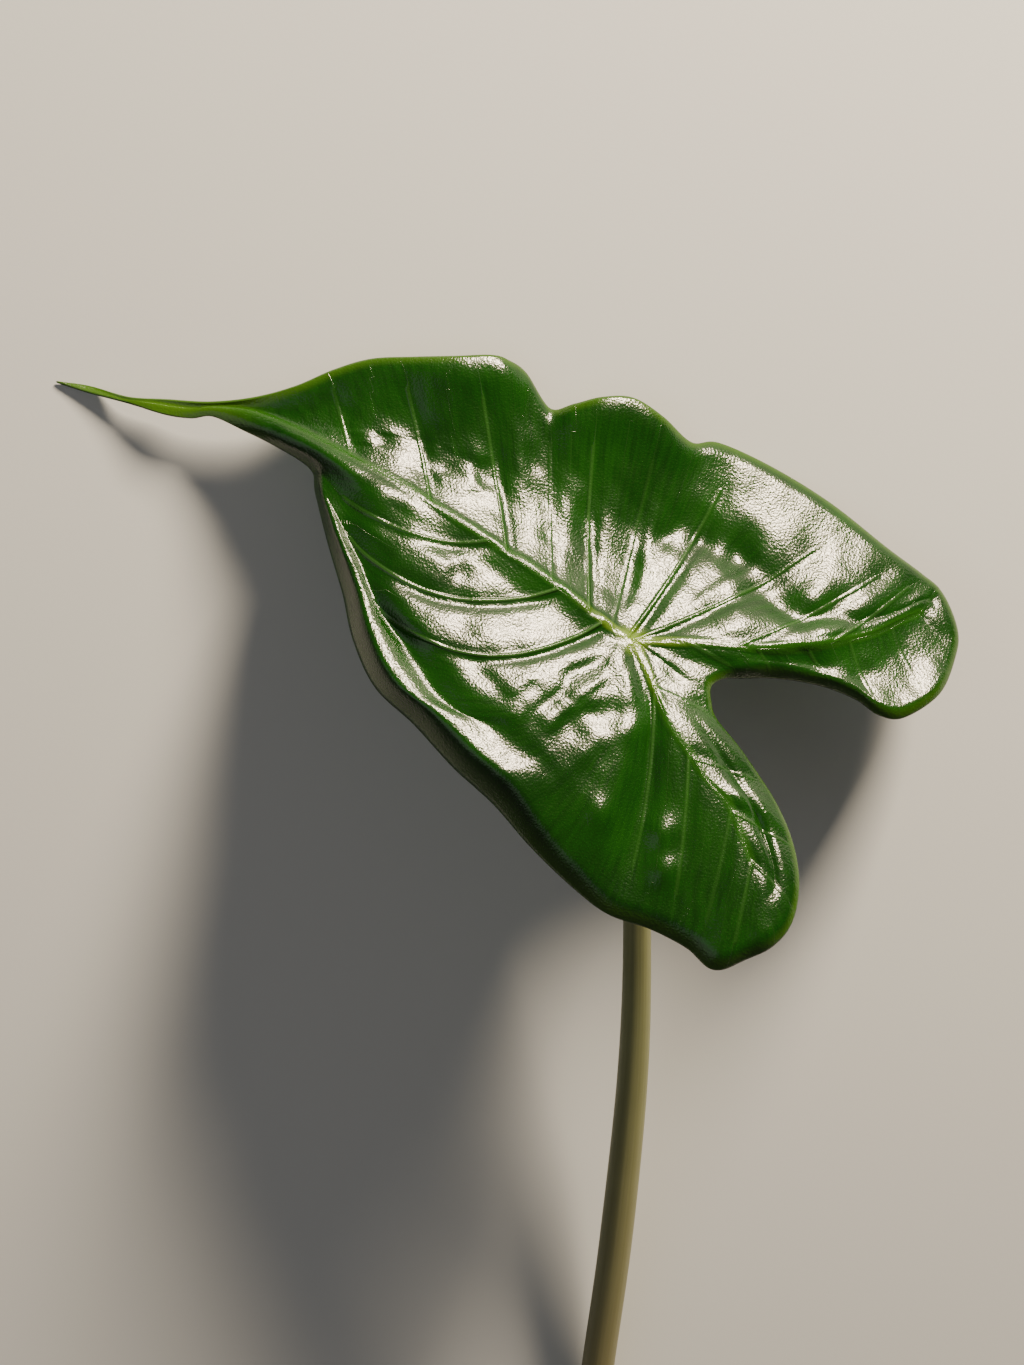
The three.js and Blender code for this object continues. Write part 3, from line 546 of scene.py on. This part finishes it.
def veinRelief(points, u, over, under):
    # raises the cords and keels of the side veins in place, and gives the grooves beside them,
    # depth exp(-((signed distance - shift) / width)^2), the signed distance from the nearest vein
    # and its strength, which fades outwards
    groove = np.zeros(len(points))
    veinAway = np.full(len(points), farOff)
    veinStrength = np.zeros(len(points))
    cordHeight, cordHalf = blade["veinCord"]
    keelDepth, keelHalf = blade["veinKeel"]
    grooveDepth, grooveWidth, grooveShift = blade["veinGroove"]
    endShare = blade["veinEndShare"]
    outward = np.linspace(0, blade["veinEnd"], 41)[None].repeat(len(veinU), 0)
    for line, section in zip(rowPoints(veinRows, outward), veinSections):
        edge, strength = section[0], section[10]
        close = np.abs(u - edge) < blade["veinReach"]
        distance, along, _ = toLine(points[close], line)
        heights = (cordHeight * strength, endShare * cordHeight)
        depths = (keelDepth * strength, endShare * keelDepth)
        cord = ridge(distance, along, heights, (cordHalf, blade["cordEndHalf"]))
        keel = ridge(distance, along, depths, (keelHalf, blade["keelEndHalf"]))
        over[close] = np.maximum(over[close], cord)
        under[close] = np.maximum(under[close], keel)
        # the groove lies on the side of the cord that faces the sinus
        sinusSide = 1 if edge < blade["sinus"] else -1
        signed = distance * np.sign(u[close] - edge + 1e-9)
        fade = 1 - blade["veinFade"] * along
        dent = np.exp(-((signed - sinusSide * grooveShift) / grooveWidth) ** 2)
        dent *= grooveDepth * strength * fade
        groove[close] = np.maximum(groove[close], dent)
        nearer = distance < np.abs(veinAway[close])
        veinAway[close] = np.where(nearer, signed, veinAway[close])
        veinStrength[close] = np.where(nearer, strength * fade, veinStrength[close])
    return groove, veinAway, veinStrength


def toCurve(points, line):
    # distance from the smooth curve through the line, the side, and a share that fades at both ends
    curve = throughPoints(line, np.linspace(0, len(line) - 1, 6 * len(line)))
    distance, along, side = toLine(points, curve)
    return distance, side, np.clip(6 * along * (1 - along), 0, 1)


def foldRelief(drop, points, u, ribAway):
    # adds to the drop: folds, height tanh(side distance / width) exp(-distance / reach); ridges and
    # hollows, as bells; and the shoulder beside the midrib, an eased step that dies away outwards
    for height, width, line in blade["folds"]:
        distance, side, share = toCurve(points, line)
        drop += height * np.tanh(side * distance / width) * np.exp(-distance / blade["foldReach"]) * share
    for height, width, line in blade["ridges"]:
        distance, side, share = toCurve(points, line)
        drop -= height * np.exp(-(distance / width) ** 2) * share
    for depth, radius, centre in blade["hollows"]:
        away = np.hypot(points[:, 0] - centre[0], points[:, 1] - centre[1])
        drop += depth * np.exp(-(away / radius) ** 2)
    depth, width, lasts = blade["shoulder"]
    (start, rise), (end, fall) = blade["shoulderRun"]
    beside = np.clip(ribAway / width, 0, 1)
    beside = beside ** 2 * (3 - 2 * beside) * np.exp(-ribAway / lasts)
    beside *= np.clip((points[:, 0] - start) / rise, 0, 1) * np.clip((end - points[:, 0]) / fall, 0, 1)
    drop += np.where(u < blade["fans"]["nearHub"][0], depth * beside, 0)
    return drop


def swell(u, t):
    # between neighbouring veins: most sin(pi way across), the most being a share of their gap
    after = np.clip(np.searchsorted(veinU, u, side="right"), 1, len(veinU) - 1)
    across = np.clip((u - veinU[after - 1]) / (veinU[after] - veinU[after - 1]), 0, 1)

    def onVein(index):
        rows = {key: value[index] for key, value in veinRows.items()}
        return rowPoints(rows, t[:, None])[:, 0]

    gap = np.linalg.norm(onVein(after) - onVein(after - 1), axis=1)
    return np.minimum(blade["swellShare"] * gap, blade["swellMost"]) * np.sin(np.pi * across)


def ripples(points):
    # a sum of slow waves in random directions
    random = np.random.default_rng(blade["seed"])
    waves = blade["waves"]
    length = random.uniform(*blade["waveLength"], waves)
    direction = random.uniform(0, 2 * np.pi, waves)
    phase = random.uniform(0, 2 * np.pi, waves)
    kx = 2 * np.pi / length * np.cos(direction)
    ky = 2 * np.pi / length * np.sin(direction)
    return np.sin(points[:, :1] * kx + points[:, 1:2] * ky + phase).sum(axis=1) / np.sqrt(waves)


def rippleShare(points):
    # the near lobe is calmer than the rest
    calm, (back, backWidth), (out, outWidth) = blade["calmLobe"]
    return 1 - calm * np.clip((back - points[:, 0]) / backWidth, 0, 1) * np.clip(
        (points[:, 1] - out) / outWidth, 0, 1)


def makeBlade(material):
    # an upper and a lower face, half the thickness from the sheet along its normals, with the relief
    # between, closed by a rounded rim; keels and the petiole's seat go straight down
    sheet = bladeSheet()
    points, triangles, u, t = sheet["points"], sheet["triangles"], sheet["u"], sheet["t"]
    fromHub = np.hypot(points[:, 0], points[:, 1])
    normals = upNormals(points, triangles, fromHub)
    over, under, ribAway = ribRelief(points)
    drop, veinAway, veinStrength = veinRelief(points, u, over, under)
    drop = foldRelief(drop, points, u, ribAway)
    placePower, fadePower = blade["fadePowers"]
    fade = np.sin(np.pi * np.clip(t, 0, 1) ** placePower) ** fadePower
    fromRib = np.clip(ribAway / blade["rippleStart"], 0, 1)
    lift = swell(u, t) * fade - drop
    lift = lift + blade["ripple"] * ripples(points) * fromRib * fade * rippleShare(points)

    half = blade["thickness"] / 2
    upper = points + normals * (lift + half + over)[:, None]
    lower = points + normals * (lift - half)[:, None]
    lower[:, 2] -= under
    flare = np.clip((fromHub - blade["padRadius"]) / (blade["padFoot"] - blade["padRadius"]), 0, 1)
    pad = blade["padDepth"] * (1 - blade["padRise"] * flare ** blade["padPower"])
    lower[:, 2] = np.where(flare < 1, np.minimum(lower[:, 2], pad), lower[:, 2])

    edgeIds = sheet["ids"][:, -1]
    out = points[edgeIds] - points[sheet["ids"][:, -2]]
    out[0] = blade["tipWay"]
    out /= np.linalg.norm(out, axis=1)[:, None]
    rim = (upper[edgeIds] + lower[edgeIds]) / 2 + out * blade["rimRound"]
    count, rowCount = len(points), len(edgeIds)
    rimIds = 2 * count + np.arange(rowCount)
    e0, e1 = edgeIds, np.roll(edgeIds, -1)
    r0, r1 = rimIds, np.roll(rimIds, -1)
    faces = np.vstack([triangles, triangles[:, ::-1] + count,
                       np.stack([e0, r0, r1], 1), np.stack([e0, r1, e1], 1),
                       np.stack([r0, e0 + count, e1 + count], 1), np.stack([r0, e1 + count, r1], 1)])
    piece = newPiece("leaf_blade_skin", layDown(np.vstack([upper, lower, rim])), faces.tolist(), material)

    # what the material reads, the same on both faces
    marks = {"ribAway": ribAway, "veinAway": veinAway, "veinStrength": veinStrength,
             "edgeAway": sheet["edgeAway"], "toTail": points[:, 0], "fromHub": fromHub,
             "aroundLeaf": u, "outward": t}
    rimMarks = {"edgeAway": np.zeros(rowCount), "outward": np.ones(rowCount)}
    for name, values in marks.items():
        addAttribute(piece, name, np.concatenate([values, values, rimMarks.get(name, values[edgeIds])]))
    rimUnder = np.full(rowCount, blade["rimUnder"])
    addAttribute(piece, "under", np.concatenate([np.zeros(count), np.ones(count), rimUnder]))
    print("blade:", rowCount, "rows,", sheet["ids"].shape[1], "columns,", len(faces), "faces")
    return piece


# Glossy upper skin, paler and duller under. Colours are linear. The patterns' scales are turns in a
# metre, and the streaks' run along the rows.
bladeLook = {
    "deepGreen": (0.0012, 0.019, 0.0004, 1), "lightGreen": (0.005, 0.048, 0.001, 1),
    "ribGreen": (0.013, 0.070, 0.002, 1), "hubGreen": (0.120, 0.210, 0.015, 1),
    "veinGreen": (0.040, 0.115, 0.024, 1), "underGreen": (0.070, 0.150, 0.040, 1),
    # the rim colour is a thin paler rim line the leaf has, widened into painted light on the rolled lip
    "tailGreen": (0.042, 0.112, 0.002, 1), "rimLineAndPaintedLipLight": (0.034, 0.092, 0.005, 1),
    "glow": (0.024, 0.190, 0.002, 1), "glowShare": 0.18,
    "roughness": 0.205, "underRoughness": 0.62, "ior": 1.5, "specular": 0.62,
    "cloudScale": 45.0, "streakScale": 3.0, "grainScale": 2500.0, "cellScale": 1800.0,
    "bumpStrength": 0.43, "bumpHeight": 0.00012}


def bladeMaterial():
    look = bladeLook
    material, wire = newMaterial("glossy green leaf skin")
    ribAway = wire.mark("ribAway")
    veinAway = wire.mark("veinAway").sum("ABSOLUTE")
    veinStrength = wire.mark("veinStrength")
    fromHub = wire.mark("fromHub")
    under = wire.mark("under")
    place = wire.node("ShaderNodeTexCoord", out="Object")
    alongRows = wire.node("ShaderNodeCombineXYZ", {}, {
        "X": wire.mark("aroundLeaf") * 2.2, "Y": wire.mark("outward") * 1.5, "Z": 0.0})
    cloud = wire.noise(place, look["cloudScale"], 4.0)
    streak = wire.noise(alongRows, look["streakScale"], 5.0)
    grain = wire.noise(place, look["grainScale"], 3.0)
    cells = wire.node("ShaderNodeTexVoronoi", {"feature": "F1"}, {
        "Vector": place, "Scale": look["cellScale"]})

    # steps are in millimetres from a rib, a vein, the hub or the margin
    green = (cloud * 0.6 + streak * 0.5 - 0.05).step(0.25, 0.8).blend(look["deepGreen"], look["lightGreen"])
    vein = veinAway.step(0.15, 0.6, 1.0, 0.0) * veinStrength
    green = (vein * 0.7).blend(green, look["veinGreen"])
    ribColour = fromHub.step(2.0, 18.0).blend(look["hubGreen"], look["ribGreen"])
    green = (ribAway.step(0.4, 1.4, 1.0, 0.0) * 0.6).blend(green, ribColour)
    green = fromHub.step(1.5, 5.0, 0.6, 0.0).blend(green, look["hubGreen"])
    green = wire.mark("toTail").step(92.0, 118.0).blend(green, look["tailGreen"])
    # painted light: the lip's outer face is painted lit green over the shade the key leaves on it, on top
    # of the leaf's own thin paler rim line
    green = wire.mark("edgeAway").step(0.0, 2.2, 0.8, 0.0).blend(green, look["rimLineAndPaintedLipLight"])
    colour = under.blend(green, look["underGreen"])

    rough = under.step(0.0, 1.0, look["roughness"], look["underRoughness"]) + (grain - 0.5) * 0.12
    bumps = grain + cells * 0.9 + streak * fromHub.step(8.0, 35.0, 0.0, 0.8)
    bumps = bumps + veinAway.step(0.1, 0.55, 6.5, 0.0) * veinStrength
    skin = wire.node("ShaderNodeBsdfPrincipled", {}, {
        "Base Color": colour, "Roughness": rough, "IOR": look["ior"],
        "Specular IOR Level": look["specular"],
        "Normal": wire.relief(bumps, look["bumpStrength"], look["bumpHeight"])}, out="BSDF")
    glow = wire.node("ShaderNodeBsdfTranslucent", {}, {"Color": look["glow"]}, out="BSDF")
    leaf = wire.node("ShaderNodeMixShader", {}, {0: look["glowShare"], 1: skin, 2: glow}, out="Shader")
    finishMaterial(material, leaf)
    return material


bladePiece = makeBlade(bladeMaterial())
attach(bladePiece, "root")
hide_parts("leaf_blade")

# Petiole. line: centre line in the leaf's frame from just under the hub to the cut, with the
# radius at each point. The skin is ribbed very faintly along its length. cutRings: share of the
# radius and depth of the rings of the cut face.
stalk = {
    "line": [(-0.5, 0.3, -4.3), (-0.7, 0.5, -8), (-6.5, 5.5, -17), (-16, 14.5, -29), (-35, 33, -59),
             (-52, 51, -90.5), (-70.5, 74.5, -130), (-84, 93.5, -161.5), (-90.5, 102, -176)],
    "radius": [2.9, 2.9, 3.0, 3.1, 3.3, 3.75, 4.1, 4.15, 4.15],
    "sides": 64, "rings": 260, "fluting": 0.03, "flutes": 9,
    "uneven": 0.06, "unevenTurns": [1, 2, 3, 1, 2, 4], "unevenWaves": (0.3, 1.2), "seed": 11,
    "cutRings": [(0.985, -0.12), (0.93, 0.02), (0.6, 0.16), (0.25, 0.24)],
    "cutBevel": 0.25, "fleshDepth": 0.26,
    "paleOlive": (0.210, 0.226, 0.110, 1), "olive": (0.175, 0.188, 0.086, 1),
    "green": (0.120, 0.175, 0.048, 1), "fawn": (0.195, 0.172, 0.096, 1),
    "cutFlesh": (0.400, 0.416, 0.240, 1), "roughness": 0.42, "ior": 1.42,
    "underSkin": 0.15, "underSkinDepth": (0.002, 0.0025, 0.0008),
    "streakScale": 1.6, "cloudScale": 60.0, "grainScale": 2400.0, "poreScale": 1100.0,
    "bumpStrength": 0.3, "bumpHeight": 0.00015}


def makeStalk(material):
    # rings round the line, of radius r(u) - fluting (1 + cos(flutes angle)) / 2 and a little uneven,
    # the cut end dished, both ends closed
    last = len(stalk["line"]) - 1
    sides = stalk["sides"]
    u = np.linspace(0, last, stalk["rings"])
    centre = throughPoints(stalk["line"], u)
    ahead = throughPoints(stalk["line"], np.minimum(u + 0.01, last))
    tangent = ahead - throughPoints(stalk["line"], np.maximum(u - 0.01, 0))
    tangent[0] = (0, 0, -1)
    tangent /= np.linalg.norm(tangent, axis=1)[:, None]
    across = np.array([0, 1.0, 0])
    side = across - tangent * (tangent @ across)[:, None]
    side /= np.linalg.norm(side, axis=1)[:, None]
    front = np.cross(tangent, side)
    angle = np.linspace(0, 2 * np.pi, sides, endpoint=False)
    radius = throughValues(np.arange(last + 1), stalk["radius"], u)[:, None]
    flute = stalk["fluting"] * (1 + np.cos(stalk["flutes"] * angle)) / 2
    # slow waves along and round the stalk
    random = np.random.default_rng(stalk["seed"])
    turns = np.array(stalk["unevenTurns"])
    waves = random.uniform(*stalk["unevenWaves"], len(turns))
    phases = random.uniform(0, 6.28, len(turns))
    unevenness = np.sin(u[:, None, None] * waves * 2 + angle[None, :, None] * turns + phases).mean(axis=2)
    ring = radius - flute + stalk["uneven"] * (unevenness - 1)
    points = (centre[:, None] + side[:, None] * (ring * np.cos(angle))[..., None]
              + front[:, None] * (ring * np.sin(angle))[..., None])
    ends = []
    for share, back in stalk["cutRings"]:
        ends.append(centre[-1] + (points[-1] - centre[-1]) * share - tangent[-1] * back)
    points[-1] -= tangent[-1] * stalk["cutBevel"]
    rings = np.concatenate([points, np.array(ends)])
    count = len(rings)
    ids = np.arange(count * sides).reshape(count, sides)
    after = np.roll(ids, -1, axis=1)
    top, foot = count * sides, count * sides + 1
    faces = np.stack([ids[:-1], after[:-1], after[1:], ids[1:]], axis=2).reshape(-1, 4).tolist()
    faces += np.stack([np.full(sides, top), after[0], ids[0]], 1).tolist()
    faces += np.stack([np.full(sides, foot), ids[-1], after[-1]], 1).tolist()
    flesh = centre[-1] - tangent[-1] * stalk["fleshDepth"]
    allPoints = np.vstack([rings.reshape(-1, 3), centre[:1], flesh[None]])
    piece = newPiece("petiole_skin", layDown(allPoints), faces, material)
    cutPoints = len(ends) * sides
    turned = np.concatenate([np.tile(angle, count), [0, 0]])
    down = np.concatenate([np.repeat(u, sides), np.full(cutPoints, last), [0, last]])
    addAttribute(piece, "downStalk", down)
    addAttribute(piece, "cosTurn", np.cos(turned))
    addAttribute(piece, "sinTurn", np.sin(turned))
    cut = np.concatenate([np.zeros(stalk["rings"] * sides), np.ones(cutPoints), [0, 1]])
    addAttribute(piece, "cut", cut)
    print("petiole:", len(faces), "faces")
    return piece


def stalkMaterial():
    material, wire = newMaterial("smooth olive stalk")
    down = wire.mark("downStalk")
    place = wire.node("ShaderNodeTexCoord", out="Object")
    alongStalk = wire.node("ShaderNodeCombineXYZ", {}, {
        "X": wire.mark("cosTurn") * 4.0, "Y": wire.mark("sinTurn") * 4.0, "Z": down * 0.55})
    streak = wire.noise(alongStalk, stalk["streakScale"], 5.0)
    cloud = wire.noise(place, stalk["cloudScale"], 3.0)
    grain = wire.noise(place, stalk["grainScale"], 2.0)
    # greener under the hub, fawn towards the cut; the steps count the points of the line
    olive = (streak * 0.8 + cloud * 0.4 - 0.1).step(0.3, 0.75).blend(stalk["olive"], stalk["paleOlive"])
    olive = down.step(0.0, 3.5, 0.8, 0.0).blend(olive, stalk["green"])
    olive = down.step(4.5, 7.5, 0.0, 0.65).blend(olive, stalk["fawn"])
    pores = wire.node("ShaderNodeTexVoronoi", {"feature": "F1"}, {
        "Vector": place, "Scale": stalk["poreScale"]})
    flesh = pores.step(0.0, 0.35, 0.7, 0.0).blend(stalk["cutFlesh"], stalk["olive"])
    colour = wire.mark("cut").blend(olive, flesh)
    bumps = streak * 1.2 + grain * 0.4
    skin = wire.node("ShaderNodeBsdfPrincipled", {}, {
        "Base Color": colour, "Roughness": (grain - 0.5) * 0.15 + stalk["roughness"],
        "Normal": wire.relief(bumps, stalk["bumpStrength"], stalk["bumpHeight"]), "IOR": stalk["ior"],
        "Subsurface Weight": stalk["underSkin"], "Subsurface Radius": stalk["underSkinDepth"]}, out="BSDF")
    finishMaterial(material, skin)
    return material


stalkPiece = makeStalk(stalkMaterial())
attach(stalkPiece, "root")
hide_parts("petiole")

# Studio. The view looks down on the lying leaf, with the petiole towards the bottom of the frame.
# viewRight, viewUp and viewBack are the photograph's axes in the part's frame.
studio = {
    "viewRight": (0.9968, 0.0358, 0.0709), "viewUp": (-0.009, 0.938, -0.3466),
    "viewBack": (-0.0789, 0.3449, 0.9353),
    "distance": 0.709, "lens": 85, "sensor": 36, "aim": (-0.0264, -0.00935),
    "floorTone": (0.64, 0.67, 0.69, 1), "worldTone": (0.63, 0.57, 0.51, 1), "worldStrength": 0.16,
    "keyFrom": (0.42, 0.72, 0.56), "keyDistance": 0.9, "keySize": (0.22, 0.18), "keyPower": 37,
    "keyTone": (1, 0.81, 0.58),
    "fillFrom": (-0.6, -0.3, 0.75), "fillDistance": 1.1, "fillSize": (0.9, 0.9), "fillPower": 1.2,
    "fillTone": (1, 1, 1), "floorHalf": 3, "fibreScale": 900.0}

hubPlace = np.array(lies["shift"]) / 1000
viewAxes = np.array([studio["viewRight"], studio["viewUp"], studio["viewBack"]]).T


def fromHubInView(x, y, z):
    # a place given along the view's axes from the hub, in metres
    return Vector(hubPlace + viewAxes @ np.array([x, y, z]))


def makeCamera():
    # straight over the hub in the view's axes, aimed a little beside it
    data = bpy.data.cameras.new("camera")
    data.lens = studio["lens"]
    data.sensor_width = studio["sensor"]
    data.clip_start = 0.01
    camera = bpy.data.objects.new("camera", data)
    bpy.context.scene.collection.objects.link(camera)
    camera.location = fromHubInView(0, 0, studio["distance"])
    back = (camera.location - fromHubInView(*studio["aim"], 0)).normalized()
    right = Vector(viewAxes[:, 0])
    right = (right - back * right.dot(back)).normalized()
    up = back.cross(right)
    camera.rotation_mode = "QUATERNION"
    camera.rotation_quaternion = Matrix((right, up, back)).transposed().to_quaternion()
    bpy.context.scene.camera = camera


def softBox(name):
    # a soft light that faces the hub
    light = bpy.data.lights.new(name + " soft box", "AREA")
    light.shape = "RECTANGLE"
    light.size, light.size_y = studio[name + "Size"]
    light.energy = studio[name + "Power"]
    light.color = studio[name + "Tone"]
    lamp = bpy.data.objects.new(name + " soft box", light)
    bpy.context.scene.collection.objects.link(lamp)
    way = Vector(viewAxes @ np.array(studio[name + "From"])).normalized()
    lamp.location = Vector(hubPlace) + way * studio[name + "Distance"]
    lamp.rotation_mode = "QUATERNION"
    lamp.rotation_quaternion = way.to_track_quat("Z", "Y")


def makeFloor():
    material, wire = newMaterial("pale studio paper")
    place = wire.node("ShaderNodeTexCoord", out="Object")
    fibre = wire.noise(place, studio["fibreScale"], 3.0)
    paper = wire.node("ShaderNodeBsdfPrincipled", {}, {
        "Base Color": studio["floorTone"], "Roughness": 0.9,
        "Normal": wire.relief(fibre, 0.05, 0.0002)}, out="BSDF")
    finishMaterial(material, paper)
    half = studio["floorHalf"]
    corners = [(-half, -half, 0), (half, -half, 0), (half, half, 0), (-half, half, 0)]
    floor = newPiece("studio_floor", corners, [(0, 1, 2, 3)], material)


makeCamera()
makeFloor()
softBox("key")
softBox("fill")
world = bpy.data.worlds.new("studio air")
world.use_nodes = True
air = world.node_tree.nodes["Background"]
air.inputs["Color"].default_value = studio["worldTone"]
air.inputs["Strength"].default_value = studio["worldStrength"]
bpy.context.scene.world = world
print("studio set")
